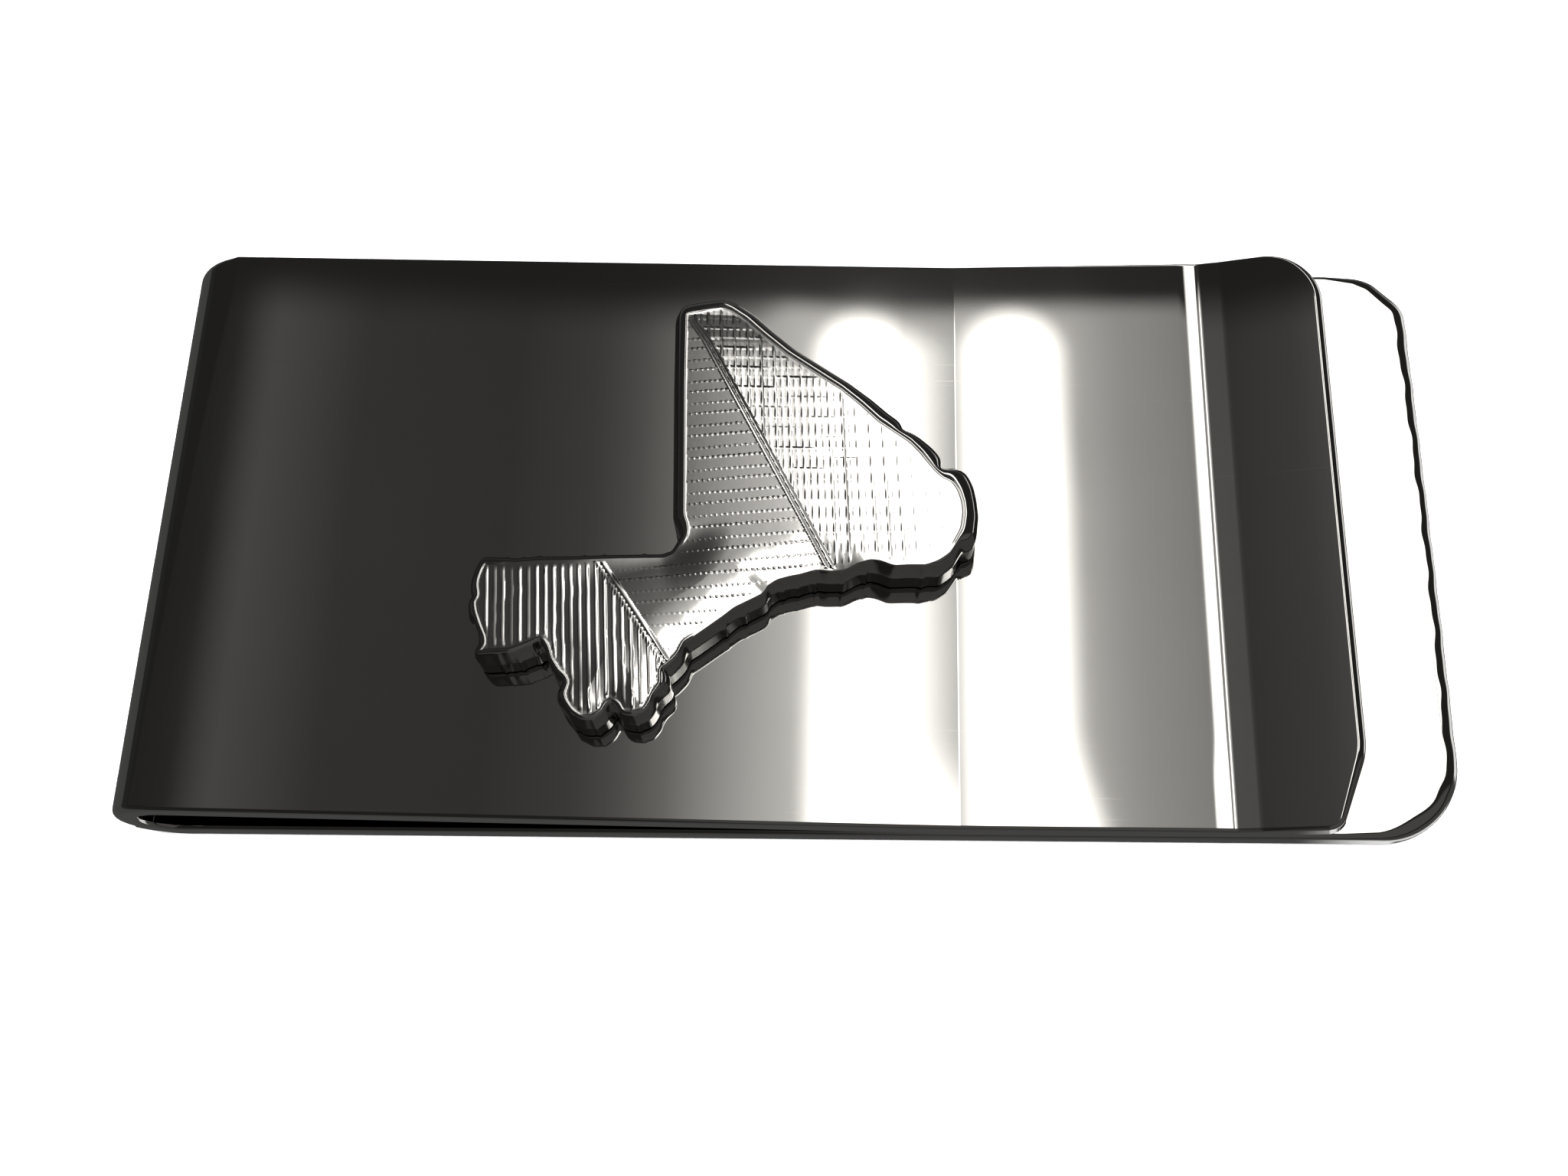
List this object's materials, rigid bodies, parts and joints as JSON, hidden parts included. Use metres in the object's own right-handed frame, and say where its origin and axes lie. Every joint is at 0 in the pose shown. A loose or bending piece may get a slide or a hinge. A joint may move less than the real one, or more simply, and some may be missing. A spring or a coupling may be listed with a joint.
{
  "type": "money clip",
  "caption": "Folded spring-strip money clip in polished chrome, with a gripping lip and a bonded map-shaped pendant on its front leaf.",
  "frame": {"origin": "centre of the bounding box's bottom face, under the back leaf on which the clip lies", "axes": "+X from the fold towards the open mouth, +Y across the strip, +Z from the back leaf up through the front leaf and the pendant"},
  "size_m": [0.0535, 0.025, 0.006],
  "materials": {
    "polished_strip": "mirror polished plating with fine handling scratches",
    "pendant_metal": "polished cast metal with an engraved hatch",
    "adhesive": "thin cured adhesive film"
  },
  "bodies": {
    "back": {"back_leaf": "polished_strip", "spring_bend": "polished_strip"},
    "front": {"front_leaf": "polished_strip", "adhesive_film": "adhesive", "map_pendant": "pendant_metal"}
  },
  "joints": [
    {"name": "front_leaf_flex", "type": "hinge", "parent": "back", "child": "front", "pos_m": [-0.02445, 0, 0.0023], "axis": [0, -1, 0], "range_deg": [0, 8], "stiffness_Nm_per_rad": 1.2, "springref_deg": -2.86, "deforming": ["spring_bend"]}
  ]
}
